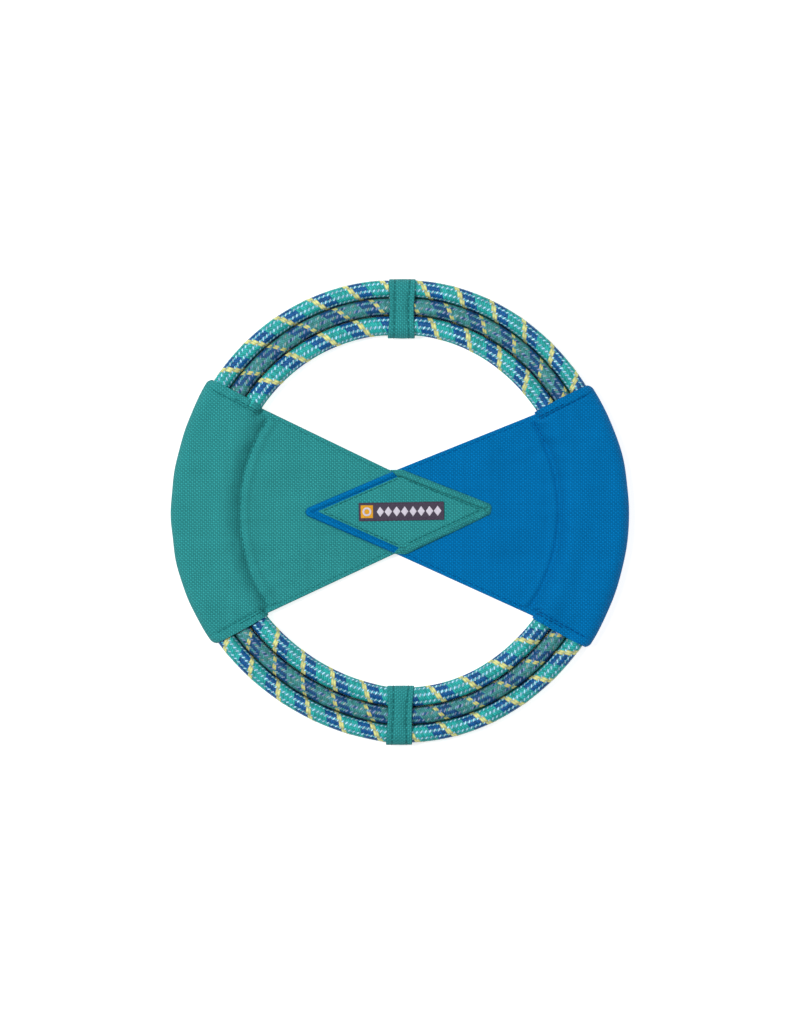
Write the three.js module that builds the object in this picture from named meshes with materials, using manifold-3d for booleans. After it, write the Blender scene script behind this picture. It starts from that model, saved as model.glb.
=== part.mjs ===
// Flying ring for throwing and catching: three hoops of braided cord lie side by side, held together
// by two folded fabric wings and two fabric keeper bands. The wings' points cross under a centre patch.
// Millimetres, +Z up. The ring lies flat; the origin is the middle of its outline, on the resting plane.

import * as THREE from 'three';
import { mergeVertices } from 'three/addons/utils/BufferGeometryUtils.js';
import Module from 'manifold-3d';

const wasm = await Module();
wasm.setup();

// Driving dimensions

const gap = 0.25; // clear space between two pieces that touch on the real ring
const fabric = 0.6; // thickness of a wing's or band's fabric
const threadDiameter = 0.5;

// Cord hoops, each a full turn: radius is that of the cord's centre line.
const hoops = [
  { name: 'outer', radius: 110.2, diameter: 8.9, weldAngle: 0 },
  { name: 'middle', radius: 101.3, diameter: 8.5, weldAngle: 180 },
  { name: 'inner', radius: 91.9, diameter: 9.8, weldAngle: 15 },
];
const oval = 1; // every hoop is this much longer along Y, and shorter along X, than a round one
const sheathWall = 1.2;
const weldLength = 1.6; // melted cord between the two cut ends of a hoop

// Wings. Each covers the cords between two open ends, then tapers to a tip beyond the centre.
const sleeveInner = { x: 67.5, y: 51 }; // a corner of the open end, on the inner side of the cords
const sleeveOuter = { x: 94.5, y: 65.5 }; // the corner of that end at the ring's rim
const tipReach = 47; // from the centre to the tip, on the far side
const seamRadius = 81; // arc of the channel seam, just inside the cords
const web = 1.2; // two leaves of fabric lying together
const looseness = 0.6; // room between the cords and the sleeve at the rim
const sleeveSpread = 42; // degrees either side of the X axis, a little past the open ends
const hemInset = 3.5; // stitching to the open end of a sleeve
const hemRun = { from: 0.12, to: 0.92 }; // where that stitching starts and stops, across the open end
const edgeInset = 2; // stitching to the tapered edges
const edgeStart = 5; // how far past the centre that stitching starts
const seamSpread = 33; // degrees either side of the X axis that the channel seam runs
const seamInset = 1; // from the sleeve's root to that stitching
const webOverlap = 3; // how far the web runs on into the sleeve, so that the two join

// Keeper bands at the top and bottom of the ring.
const bandWidth = 13.3;
const bandTurns = [
  { name: 'top', turn: -0.5 },
  { name: 'bottom', turn: 180.2 },
];
const bandStitchInset = 3;
const bandCorner = 4.2; // radius inside the bends round the outer and inner cords
const bandRoom = 0.45; // the inner cord bends away from the band between its two edges

// Centre patch and label.
const patchInset = 3.2; // the blue wing's hem shows this far along the patch's left two sides
const patchThickness = 0.6;
const patchWaist = -1; // the x of the patch's upper and lower corners
const hem = { width: 3.6, height: 0.8 }; // rolled hem along the patch's right two sides
const patchStitchInset = { left: 1.2, right: 0.8 }; // to the patch's edge, and to the hem
const label = { width: 42.7, height: 9.2, thickness: 0.5, x: 0.7, y: 0.3, turn: 1 };
const labelStitchInset = 0.9;
const ringShare = 0.965; // the inside of a closed ring of stitching, as a share of its outside

// How finely round shapes are divided: sides of a section, and steps along a sweep or an arc.
const sides = { sheath: 10, core: 8, weld: 12, thread: 6 };
const steps = { hoop: 48, sleeve: 14, seam: 20, hemLine: 12, sectionArc: 5, plateArc: 16 };

// Worked out from the above

const degrees = Math.PI / 180;
const [outerHoop, middleHoop, innerHoop] = hoops;
const tallest = Math.max(...hoops.map((hoop) => hoop.diameter));
const halfHeight = tallest / 2 + gap + fabric; // of a sleeve or band, above and below the cords' plane
const cordPlane = halfHeight; // height of the cords' plane, with the sleeves resting on z = 0
const waist = (sleeveInner.y * tipReach) / (sleeveInner.x + tipReach); // half width of a wing at x = 0
const taper = waist / tipReach; // slope of a wing's edges
const slant = Math.atan(taper);
const rim = outerHoop.radius + outerHoop.diameter / 2 + looseness + fabric; // the sleeves' outer fold
const seamApex = seamRadius + 1; // where a sleeve's two faces meet
const leftWebTop = cordPlane - gap / 2;
const rightWebTop = leftWebTop + gap + web;
const patchTop = rightWebTop + gap + patchThickness;

const colours = {
  teal: 0x2f9688,
  blue: 0x0b6fb4,
  tealThread: 0x1f7a70,
  blueThread: 0x085a98,
  sheath: 0x2f8fae,
  dullSheath: 0x5a8792,
  core: 0xe6e4dc,
  weld: 0x2a6f86,
  labelGround: 0x4a4152,
  labelThread: 0x383040,
};

const roughnesses = { cloth: 0.9, ribbon: 0.8, weld: 0.5 };

function piece(name, geometry, colour, roughness = roughnesses.cloth) {
  const material = new THREE.MeshStandardMaterial({ color: colour, roughness, metalness: 0 });
  const mesh = new THREE.Mesh(geometry, material);
  mesh.name = name;
  return mesh;
}

// Joining and cutting

function toSolid(geometry) {
  const bare = geometry.clone();
  bare.deleteAttribute('normal');
  bare.deleteAttribute('uv');
  const merged = mergeVertices(bare, 1e-4);
  return new wasm.Manifold(
    new wasm.Mesh({
      numProp: 3,
      vertProperties: new Float32Array(merged.attributes.position.array),
      triVerts: new Uint32Array(merged.index.array),
    }),
  );
}

function toGeometry(solid) {
  const mesh = solid.getMesh();
  const geometry = new THREE.BufferGeometry();
  geometry.setAttribute('position', new THREE.BufferAttribute(mesh.vertProperties, 3));
  geometry.setIndex(new THREE.BufferAttribute(mesh.triVerts, 1));
  geometry.computeVertexNormals();
  return geometry;
}

// Shapes and sweeps

function regularPolygon(radius, count) {
  const corner = (index) => (index / count) * 2 * Math.PI;
  return Array.from(
    { length: count },
    (_, index) => new THREE.Vector2(radius * Math.cos(corner(index)), radius * Math.sin(corner(index))),
  );
}

// The centre line of a hoop, or of part of one, between two angles counted from +X towards +Y.
class HoopLine extends THREE.Curve {
  constructor(radius, height, from, to) {
    super();
    Object.assign(this, { radius, height, from, to });
  }

  getPoint(t, target = new THREE.Vector3()) {
    const angle = THREE.MathUtils.lerp(this.from, this.to, t) * degrees;
    const x = (this.radius - oval) * Math.cos(angle);
    const y = (this.radius + oval) * Math.sin(angle);
    return target.set(x, y, this.height);
  }
}

function sweep(shape, path, count) {
  const settings = { extrudePath: path, steps: count, curveSegments: steps.sectionArc };
  return new THREE.ExtrudeGeometry(shape, settings);
}

function plate(shape, bottom, thickness) {
  const settings = { depth: thickness, bevelEnabled: false, curveSegments: steps.plateArc };
  return new THREE.ExtrudeGeometry(shape, settings).translate(0, 0, bottom);
}

function thread(name, path, count, colour) {
  const section = new THREE.Shape(regularPolygon(threadDiameter / 2, sides.thread));
  return piece(name, sweep(section, path, count), colour);
}

function outline(points) {
  return new THREE.Shape(points.map(([x, y]) => new THREE.Vector2(x, y)));
}

// Cord hoops: a braided sheath round a core, with the cut ends melted together.

function cordHoop(hoop, isDull) {
  const { name, radius, diameter, weldAngle } = hoop;
  const weldTurn = ((weldLength / 2 + gap) / radius) / degrees;
  const line = new HoopLine(radius, cordPlane, weldAngle + weldTurn, weldAngle + 360 - weldTurn);

  const sheath = new THREE.Shape(regularPolygon(diameter / 2, sides.sheath));
  const boreRadius = diameter / 2 - sheathWall;
  sheath.holes.push(new THREE.Path(regularPolygon(boreRadius, sides.core)));
  const core = new THREE.Shape(regularPolygon(boreRadius - gap, sides.core));

  const lump = new THREE.CylinderGeometry(diameter / 2, diameter / 2, weldLength, sides.weld);
  const weld = piece(`${name}_cord_weld`, lump, colours.weld, roughnesses.weld);
  const weldLine = new HoopLine(radius, cordPlane, weldAngle, weldAngle + weldTurn);
  weld.position.copy(weldLine.getPoint(0));
  weld.quaternion.setFromUnitVectors(new THREE.Vector3(0, 1, 0), weldLine.getTangent(0));

  const sheathColour = isDull ? colours.dullSheath : colours.sheath;
  return [
    piece(`${name}_cord_sheath`, sweep(sheath, line, steps.hoop), sheathColour),
    piece(`${name}_cord_core`, sweep(core, line, steps.hoop), colours.core),
    weld,
  ];
}

// Wings

// Section of the sleeve round the cords: radius from the ring's centre, and height from the cords' plane.
// Two straight sides run from the seam to the round over the inner cord.
function sleeveSection(seam, half) {
  const nearCentre = innerHoop.radius;
  const farCentre = rim - halfHeight;
  const leaving = Math.acos(half / (nearCentre - seam)); // where a line from the seam touches the round
  const section = new THREE.Shape();
  section.absarc(nearCentre, 0, half, Math.PI + leaving, 1.5 * Math.PI, false);
  section.absarc(farCentre, 0, half, 1.5 * Math.PI, 2.5 * Math.PI, false);
  section.absarc(nearCentre, 0, half, 0.5 * Math.PI, Math.PI - leaving, false);
  section.lineTo(seam, 0);
  return section;
}

// The same section turned to stand across a hoop line, whose sweep takes x as down and y as inward.
function acrossHoop(section) {
  const points = section.getPoints(steps.sectionArc);
  return new THREE.Shape(points.map((p) => new THREE.Vector2(-p.y, middleHoop.radius - p.x)));
}

// Outline of a wing that points along -X, seen from above. `reach` says how far past the rim it runs.
function wingOutline(reach) {
  const run = 1 + reach / Math.hypot(sleeveOuter.x - sleeveInner.x, sleeveOuter.y - sleeveInner.y);
  const farX = sleeveInner.x + run * (sleeveOuter.x - sleeveInner.x);
  const farY = sleeveInner.y + run * (sleeveOuter.y - sleeveInner.y);
  return outline([
    [-tipReach, 0],
    [sleeveInner.x, -sleeveInner.y],
    [farX, -farY],
    [farX + reach, -farY],
    [farX + reach, farY],
    [farX, farY],
    [sleeveInner.x, sleeveInner.y],
  ]);
}

// The flat web between the tip and the channel seam.
function webOutline() {
  const rootRadius = seamRadius + webOverlap;
  const rootAngle = Math.atan2(sleeveInner.y, sleeveInner.x);
  const shape = outline([
    [-tipReach, 0],
    [sleeveInner.x, -sleeveInner.y],
  ]);
  shape.absarc(0, 0, rootRadius, -rootAngle, rootAngle, false);
  shape.lineTo(sleeveInner.x, sleeveInner.y);
  return shape;
}

function wing(name, webTop, colour) {
  const margin = { spread: 6, steps: 2, above: 1, pastRim: 12 }; // by which the cutting tools overrun
  const longerSpread = sleeveSpread + margin.spread;
  const channelApex = seamApex + 2.5 * fabric; // the faces meet at a sharp angle, so it lies well back
  const line = new HoopLine(middleHoop.radius, cordPlane, -sleeveSpread, sleeveSpread);
  const longerLine = new HoopLine(middleHoop.radius, cordPlane, -longerSpread, longerSpread);
  const outside = acrossHoop(sleeveSection(seamApex, halfHeight));
  const inside = acrossHoop(sleeveSection(channelApex, halfHeight - fabric));
  const around = toSolid(sweep(outside, line, steps.sleeve));
  const channel = toSolid(sweep(inside, longerLine, steps.sleeve + margin.steps));
  const flat = toSolid(plate(webOutline(), webTop - web, web));
  const whole = around.add(flat).subtract(channel);
  const cutHeight = 2 * (halfHeight + margin.above);
  const cut = toSolid(plate(wingOutline(margin.pastRim), -margin.above, cutHeight));
  return piece(name, toGeometry(whole.intersect(cut)), colour);
}

// Height of a sleeve's top face above the cords' plane, at a radius between the seam and the rim.
function sleeveRise(radius) {
  const farCentre = rim - halfHeight;
  if (radius > farCentre) {
    return Math.sqrt(Math.max(0, halfHeight ** 2 - (radius - farCentre) ** 2));
  }
  const nearCentre = innerHoop.radius;
  const leaving = Math.acos(halfHeight / (nearCentre - seamApex));
  const touch = nearCentre - halfHeight * Math.cos(leaving);
  if (radius < touch) {
    return ((radius - seamApex) / (touch - seamApex)) * halfHeight * Math.sin(leaving);
  }
  return radius < nearCentre ? Math.sqrt(halfHeight ** 2 - (radius - nearCentre) ** 2) : halfHeight;
}

// A row of stitching over the sleeve, beside one of its open ends. `side` is 1 for the one towards +Y.
function hemLine(side) {
  const start = new THREE.Vector2(sleeveInner.x, sleeveInner.y);
  const end = new THREE.Vector2(sleeveOuter.x, sleeveOuter.y);
  const along = end.clone().sub(start).normalize();
  const inward = new THREE.Vector2(along.y, -along.x).multiplyScalar(hemInset);
  const lift = gap + threadDiameter / 2;
  const count = 9;
  const points = Array.from({ length: count }, (_, index) => {
    const share = THREE.MathUtils.lerp(hemRun.from, hemRun.to, index / (count - 1));
    const spot = start.clone().lerp(end, share).add(inward);
    const radius = spot.length() + oval * Math.cos(2 * spot.angle());
    return new THREE.Vector3(spot.x, side * spot.y, cordPlane + sleeveRise(radius) + lift);
  });
  return new THREE.CatmullRomCurve3(points);
}

// A row of stitching along one tapered edge, from the centre to the sleeve.
function edgeLine(side, height) {
  const drop = edgeInset / Math.cos(slant);
  const edgeAt = (x) => new THREE.Vector3(x, side * (waist + taper * x - drop), height);
  return new THREE.LineCurve3(edgeAt(edgeStart), edgeAt(sleeveInner.x - hemInset));
}

// The wing's rows of stitching. `upper` is the side that faces +Y once the wing is turned into place.
function wingThreads(name, webTop, upper, colour) {
  const height = webTop + gap + threadDiameter / 2;
  const seam = new HoopLine(seamRadius - seamInset, height, -seamSpread, seamSpread);
  return [
    thread(`${name}_channel_seam`, seam, steps.seam, colour),
    thread(`${name}_upper_edge_stitching`, edgeLine(upper, height), 1, colour),
    thread(`${name}_lower_edge_stitching`, edgeLine(-upper, height), 1, colour),
    thread(`${name}_upper_hem_stitching`, hemLine(upper), steps.hemLine, colour),
    thread(`${name}_lower_hem_stitching`, hemLine(-upper), steps.hemLine, colour),
  ];
}

// Keeper bands: flat loops of fabric, sewn closed round the three cords.

function roundedBox(left, right, half, corner) {
  const shape = new THREE.Shape();
  shape.absarc(right - corner, half - corner, corner, 0, 0.5 * Math.PI, false);
  shape.absarc(left + corner, half - corner, corner, 0.5 * Math.PI, Math.PI, false);
  shape.absarc(left + corner, corner - half, corner, Math.PI, 1.5 * Math.PI, false);
  shape.absarc(right - corner, corner - half, corner, 1.5 * Math.PI, 2 * Math.PI, false);
  return shape;
}

function keeperBand(name) {
  const near = innerHoop.radius + oval - innerHoop.diameter / 2 - bandRoom - gap;
  const far = outerHoop.radius + oval + outerHoop.diameter / 2 + gap;
  const insideHalf = halfHeight - fabric;
  const section = roundedBox(near - fabric, far + fabric, halfHeight, bandCorner + fabric);
  const opening = roundedBox(near, far, insideHalf, bandCorner);
  section.holes.push(new THREE.Path(opening.getPoints(steps.sectionArc)));
  const settings = { depth: bandWidth, bevelEnabled: false, curveSegments: steps.sectionArc };
  const geometry = new THREE.ExtrudeGeometry(section, settings).translate(0, 0, -bandWidth / 2);
  const band = piece(`${name}_keeper_band`, geometry, colours.teal);
  band.rotation.set(Math.PI / 2, Math.PI / 2, 0); // the section stands in the YZ plane, the width along X
  band.position.z = cordPlane;

  const height = 2 * halfHeight + gap + threadDiameter / 2;
  const rows = [-1, 1].map((side) => {
    const x = side * (bandWidth / 2 - bandStitchInset);
    const row = new THREE.LineCurve3(
      new THREE.Vector3(x, near + bandCorner, height),
      new THREE.Vector3(x, far - bandCorner, height),
    );
    const edge = side < 0 ? 'left' : 'right';
    return thread(`${name}_band_${edge}_stitching`, row, 1, colours.tealThread);
  });
  return [band, ...rows];
}

// Centre patch: a teal diamond over the crossed tips. The blue wing's hem shows along its left two sides.

// Its left two sides lie back from the blue wing's edges, so at the waist the outline steps out.
function patchOutline() {
  const left = -tipReach + patchInset / Math.sin(slant);
  const leftRise = taper * (patchWaist - left);
  const rightRise = taper * (tipReach - patchWaist);
  return outline([
    [left, 0],
    [patchWaist, -leftRise],
    [patchWaist, -rightRise],
    [tipReach, 0],
    [patchWaist, rightRise],
    [patchWaist, leftRise],
  ]);
}

// The rolled hem along the right two sides.
function hemOutline() {
  const rise = taper * (tipReach - patchWaist);
  const innerRise = rise - hem.width / Math.cos(slant);
  return outline([
    [patchWaist, rise],
    [patchWaist, innerRise],
    [tipReach - hem.width / Math.sin(slant), 0],
    [patchWaist, -innerRise],
    [patchWaist, -rise],
    [tipReach, 0],
  ]);
}

function centrePatch() {
  const bottom = patchTop - patchThickness;
  const base = toSolid(plate(patchOutline(), bottom, patchThickness));
  const rolled = toSolid(plate(hemOutline(), bottom, patchThickness + hem.height));
  return piece('centre_patch', toGeometry(base.add(rolled)), colours.teal);
}

// A thin closed ring of stitching that follows a convex outline, `inset` inside it.
function ringOfStitching(name, corners, bottom, colour) {
  const shrink = (points, amount) => {
    const centre = new THREE.Vector2();
    points.forEach((p) => centre.add(p));
    centre.divideScalar(points.length);
    return points.map((p) => p.clone().sub(centre).multiplyScalar(amount).add(centre));
  };
  const ring = new THREE.Shape(corners);
  ring.holes.push(new THREE.Path(shrink(corners, ringShare)));
  return piece(name, plate(ring, bottom, threadDiameter), colour);
}

function patchStitching() {
  const left = -tipReach + (patchInset + patchStitchInset.left) / Math.sin(slant);
  const right = tipReach - (hem.width + patchStitchInset.right) / Math.sin(slant);
  const middle = (left + right) / 2;
  const rise = taper * (right - middle);
  const corners = [
    new THREE.Vector2(left, 0),
    new THREE.Vector2(middle, -rise),
    new THREE.Vector2(right, 0),
    new THREE.Vector2(middle, rise),
  ];
  return ringOfStitching('centre_patch_stitching', corners, patchTop + gap, colours.tealThread);
}

function wovenLabel() {
  const group = new THREE.Group();
  group.position.set(label.x, label.y, patchTop + gap);
  group.rotation.z = label.turn * degrees;
  const ribbon = new THREE.BoxGeometry(label.width, label.height, label.thickness);
  ribbon.translate(0, 0, label.thickness / 2);
  const tag = piece('woven_label', ribbon, colours.labelGround, roughnesses.ribbon);
  const halfWidth = label.width / 2 - labelStitchInset;
  const halfDepth = label.height / 2 - labelStitchInset;
  const corners = [
    new THREE.Vector2(-halfWidth, -halfDepth),
    new THREE.Vector2(halfWidth, -halfDepth),
    new THREE.Vector2(halfWidth, halfDepth),
    new THREE.Vector2(-halfWidth, halfDepth),
  ];
  const above = label.thickness + gap;
  group.add(tag, ringOfStitching('label_stitching', corners, above, colours.labelThread));
  return group;
}

// Assembly

const ring = new THREE.Group();

hoops.forEach((hoop) => ring.add(...cordHoop(hoop, hoop === middleHoop)));

const leftSide = new THREE.Group();
leftSide.rotation.z = Math.PI;
leftSide.add(wing('left_wing', leftWebTop, colours.teal));
leftSide.add(...wingThreads('left_wing', leftWebTop, -1, colours.tealThread));

const rightSide = new THREE.Group();
rightSide.add(wing('right_wing', rightWebTop, colours.blue));
rightSide.add(...wingThreads('right_wing', rightWebTop, 1, colours.blueThread));

ring.add(leftSide, rightSide);

bandTurns.forEach(({ name, turn }) => {
  const place = new THREE.Group();
  place.rotation.z = turn * degrees;
  place.add(...keeperBand(name));
  ring.add(place);
});

ring.add(centrePatch(), patchStitching(), wovenLabel());

export default ring;
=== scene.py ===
import math
from functools import partialmethod

import bpy
import numpy as np
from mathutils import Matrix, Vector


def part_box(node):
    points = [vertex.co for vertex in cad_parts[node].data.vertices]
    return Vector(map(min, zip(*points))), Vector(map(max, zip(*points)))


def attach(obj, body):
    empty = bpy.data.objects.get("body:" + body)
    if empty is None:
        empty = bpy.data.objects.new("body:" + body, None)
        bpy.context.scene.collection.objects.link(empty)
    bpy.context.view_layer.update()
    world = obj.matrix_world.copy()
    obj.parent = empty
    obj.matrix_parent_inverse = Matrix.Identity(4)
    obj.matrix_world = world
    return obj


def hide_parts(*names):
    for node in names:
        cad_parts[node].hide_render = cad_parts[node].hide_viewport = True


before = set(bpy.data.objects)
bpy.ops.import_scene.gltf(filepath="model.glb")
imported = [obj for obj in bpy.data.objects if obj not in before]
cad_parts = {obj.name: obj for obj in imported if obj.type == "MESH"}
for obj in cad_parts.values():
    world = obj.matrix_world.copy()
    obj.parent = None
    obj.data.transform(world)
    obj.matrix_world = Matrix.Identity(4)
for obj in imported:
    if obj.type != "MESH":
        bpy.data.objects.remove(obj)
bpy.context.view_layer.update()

MM = 0.001
TAU = 2 * math.pi

# -------- sizes, from the frame

CAD_SIDES = 10  # of a cord's tube in the CAD


def hoop_size(node):
    """A cord's radius and its centre line's two half axes. Two corners of the CAD tube lie on its vertical,
    so it is full height, and flats face the rim, so it is a little narrow there."""
    low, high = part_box(node)
    radius = (high[2] - low[2]) / 2
    flat = radius * math.cos(math.pi / CAD_SIDES)
    return radius, (high[0] - low[0]) / 2 - flat, (high[1] - low[1]) / 2 - flat


sleeve_low, sleeve_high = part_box("right_wing")
PLANE = (sleeve_low[2] + sleeve_high[2]) / 2  # height of the cords' middle plane
SLEEVE_HALF = (sleeve_high[2] - sleeve_low[2]) / 2
RIM = sleeve_high[0]  # the sleeve's outermost point, on the X axis
hoops = {name: hoop_size(name + "_cord_sheath") for name in ("outer", "middle", "inner")}
OVAL = (hoops["outer"][2] - hoops["outer"][1]) / 2  # each hoop is this much longer in Y, shorter in X
OUTER_R, MIDDLE_R, INNER_R = ((half_x + half_y) / 2 for _, half_x, half_y in hoops.values())
patch_low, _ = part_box("centre_patch")
label_low, label_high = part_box("woven_label")

# Lying loose, the hoops aren't quite oval: together they run in and out in a few waves. For each: how many
# go round the ring, how far out they reach in mm, and the phase, in degrees.
SWAY_MEAN = -0.9
SWAY = ((1, 0.8, 85), (2, 1.0, -131), (3, 0.2, -164), (4, 0.4, 25), (5, 0.3, -51))
BAND_HOLD, BAND_REACH = 0.7, 0.10  # how much of the sway a keeper band takes away, and over what angle


def sway(angle):
    """How far the hoops lie outside their even ovals at an angle. The keeper bands steady them."""
    reach = SWAY_MEAN + sum(size * np.cos(count * angle - math.radians(phase)) for count, size, phase in SWAY)
    return MM * reach * (1 - BAND_HOLD * bump(np.cos(angle), 0, BAND_REACH))


# -------- small tools


def smoothstep(low, high, x):
    t = np.clip((x - low) / (high - low), 0, 1)
    return t * t * (3 - 2 * t)


def bump(x, centre, width):
    """1 at centre, falling off smoothly over about width."""
    return np.exp(-(((x - centre) / width) ** 2))


def arch(share):
    """Rises like a quarter circle, from 0 to 1, and stays at 1."""
    return np.sqrt(1 - (1 - np.clip(share, 0, 1)) ** 2)


def beat(x, pitch):
    """Swings from 1 to 0 and back over each pitch."""
    return 0.5 + 0.5 * np.cos(TAU * x / pitch)


def waves(x, y, length, seed, count=9):
    """Smooth unevenness between about -1 and 1, from a few sine waves in seeded directions."""
    rng = np.random.default_rng(seed)
    total = np.zeros(np.broadcast(x, y).shape)
    for _ in range(count):
        turn, phase = rng.uniform(0, TAU, 2)
        pitch = length * rng.uniform(0.7, 1.5)
        total += np.sin(TAU / pitch * (x * math.cos(turn) + y * math.sin(turn)) + phase)
    return total / math.sqrt(count)


def polar(radius, angle):
    """Plane points at a radius and an angle."""
    return np.stack([radius * np.cos(angle), radius * np.sin(angle)], axis=-1)


def bearing(point):
    return math.atan2(point[1], point[0])


def turned(points, angle):
    """The points turned round the Z axis."""
    cosine, sine = math.cos(angle), math.sin(angle)
    points = np.array(points, dtype=float)
    points[..., :2] = points[..., :2] @ np.array([[cosine, sine], [-sine, cosine]])
    return points


def travelled(path):
    """Distance along a path to each of its points."""
    return np.concatenate([[0], np.cumsum(np.linalg.norm(np.diff(path, axis=0), axis=1))])


def between(start, end, steps=60):
    t = np.linspace(0, 1, steps)[:, None]
    return start * (1 - t) + end * t


def inset_line(start, end, inset, trim_start, trim_end):
    """The line from start to end moved to its right by inset, and shortened at its ends."""
    heading = (end - start) / np.linalg.norm(end - start)
    aside = inset * np.array([heading[1], -heading[0]])
    return between(start + heading * trim_start + aside, end - heading * trim_end + aside)


def grid_quads(rows, columns, closed_columns=False):
    """Quads of a rows by columns grid of points, numbered row by row."""
    across = columns if closed_columns else columns - 1
    r, c = np.meshgrid(np.arange(rows - 1), np.arange(across), indexing="ij")
    here = (r * columns + c).ravel()
    right = (r * columns + (c + 1) % columns).ravel()
    return np.stack([here, right, right + columns, here + columns], axis=1)


def joined(parts):
    """Several meshes as one. Each is its points, its faces, and whatever else it has for these."""
    firsts = np.cumsum([0] + [len(part[0]) for part in parts])
    faces = [[corner + first for corner in face] for part, first in zip(parts, firsts) for face in part[1]]
    others = [np.concatenate(rows) for rows in list(zip(*parts))[2:]]
    return np.concatenate([part[0] for part in parts]), faces, *others


def mesh_object(name, material, points, faces, uv=None, colour=None, smooth=True):
    """A mesh object. uv is per point, or else per face corner; colour is per face."""
    mesh = bpy.data.meshes.new(name)
    faces = [list(map(int, face)) for face in faces]
    mesh.from_pydata(np.asarray(points).tolist(), [], faces)
    sizes = [len(face) for face in faces]
    if uv is not None:
        if len(uv) != sum(sizes):
            uv = np.asarray(uv)[[corner for face in faces for corner in face]]
        layer = mesh.uv_layers.new(name="cloth")
        layer.data.foreach_set("uv", np.asarray(uv, dtype=np.float32).ravel())
    if colour is not None:
        attribute = mesh.color_attributes.new("yarn", "FLOAT_COLOR", "CORNER")
        channels = np.column_stack([colour, np.ones(len(faces))]).astype(np.float32)
        attribute.data.foreach_set("color", np.repeat(channels, sizes, axis=0).ravel())
    mesh.polygons.foreach_set("use_smooth", np.full(len(faces), smooth))
    mesh.materials.append(material)
    mesh.update()
    piece = bpy.data.objects.new(name, mesh)
    bpy.context.scene.collection.objects.link(piece)
    return piece


def use_modifier(piece, kind, **settings):
    """Adds a modifier and applies it."""
    modifier = piece.modifiers.new(kind.lower(), kind)
    for key, value in settings.items():
        setattr(modifier, key, value)
    depsgraph = bpy.context.evaluated_depsgraph_get()
    made = bpy.data.meshes.new_from_object(piece.evaluated_get(depsgraph), depsgraph=depsgraph)
    piece.modifiers.clear()
    old, piece.data = piece.data, made
    bpy.data.meshes.remove(old)
    made.name = piece.name


def weld(piece):
    """Joins the edges that lie on each other."""
    use_modifier(piece, "WELD", merge_threshold=0.004 * MM)


def settle(piece, slot, *nodes):
    """The piece rides on the one body and hides the CAD nodes that it stands for; slot is not used."""
    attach(piece, "root")
    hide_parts(*nodes)
    return piece


# -------- materials

CROSSING = 1.04 * MM  # from one yarn of a braid to the next
WARP, WEFT = 1.07 * MM, 0.90 * MM  # from one yarn of the cloth to the next, each way
RIB = 0.32 * MM  # from one thread of the label to the next
WEAVE_DEPTH = 0.19 * MM


class Value:
    """A number that a material works out at each point, with the usual arithmetic."""

    def __init__(self, nodes, socket):
        self.nodes, self.socket = nodes, socket

    def math(self, operation, *others):
        return self.nodes.math(operation, self, *others)

    def __rsub__(self, other):
        return self.nodes.math("SUBTRACT", other, self)

    def fit(self, low, high, to_low, to_high):
        numbers = enumerate((self, low, high, to_low, to_high))
        return self.nodes.node("ShaderNodeMapRange", dict(numbers), clamp=True)

    __add__ = partialmethod(math, "ADD")
    __sub__ = partialmethod(math, "SUBTRACT")
    __mul__ = partialmethod(math, "MULTIPLY")
    __truediv__ = partialmethod(math, "DIVIDE")
    __mod__ = partialmethod(math, "FLOORED_MODULO")
    __pow__ = partialmethod(math, "POWER")
    __abs__ = partialmethod(math, "ABSOLUTE")
    floor = partialmethod(math, "FLOOR")
    fraction = partialmethod(math, "FRACT")
    at_most = partialmethod(math, "MINIMUM")
    sine = partialmethod(math, "SINE")
    cosine = partialmethod(math, "COSINE")


class Nodes:
    """A material's node tree, with short calls for the nodes that these materials use."""

    def __init__(self, name):
        self.material = bpy.data.materials.new(name)
        self.material.use_nodes = True
        self.tree = self.material.node_tree

    def put(self, socket, value):
        """Links a value to a socket, or sets a plain number or colour there."""
        if isinstance(value, Value):
            self.tree.links.new(value.socket, socket)
        elif value is not None:
            socket.default_value = value

    def node(self, kind, inputs, output=0, **settings):
        """Adds a node with its inputs, by number or by name, and gives one of its outputs."""
        made = self.tree.nodes.new(kind)
        for key, value in settings.items():
            setattr(made, key, value)
        for key, value in inputs.items():
            self.put(made.inputs[key], value)
        return Value(self, made.outputs[output])

    def math(self, operation, *values):
        return self.node("ShaderNodeMath", dict(enumerate(values)), operation=operation)

    def cloth(self, *pitches):
        """A cloth's two yarn coordinates, which are its UVs, in metres on the flat cloth, over the pitches;
        and the UVs themselves."""
        flat = self.node("ShaderNodeUVMap", {}, uv_map="cloth")
        axes = (self.node("ShaderNodeSeparateXYZ", {0: flat}, axis) for axis in (0, 1))
        return *(axis / pitch for axis, pitch in zip(axes, pitches * 2)), flat

    def yarn_colour(self):
        return self.node("ShaderNodeVertexColor", {}, layer_name="yarn")

    def noise(self, vector, scale, detail):
        inputs = {"Vector": vector, "Scale": scale, "Detail": detail}
        return self.node("ShaderNodeTexNoise", inputs, "Fac")

    def bump(self, height, distance, strength=1.0, normal=None):
        inputs = {"Height": height, "Distance": distance, "Strength": strength, "Normal": normal}
        return self.node("ShaderNodeBump", inputs, "Normal")

    def finish(self, colour, brightness=None, **sockets):
        """The finished material, its colour made lighter or darker by brightness."""
        if brightness is not None:
            colour = self.node("ShaderNodeVectorMath", {0: colour, "Scale": brightness}, operation="SCALE")
        shader = self.tree.nodes["Principled BSDF"]
        for name, value in {"Base_Color": colour, **sockets}.items():
            self.put(shader.inputs[name.replace("_", " ")], value)
        return self.material


def highlight(colour):
    """The colour that a yarn of this colour shines in."""
    return (*(min(1.0, channel * 2.0) for channel in colour), 1.0)


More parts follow.
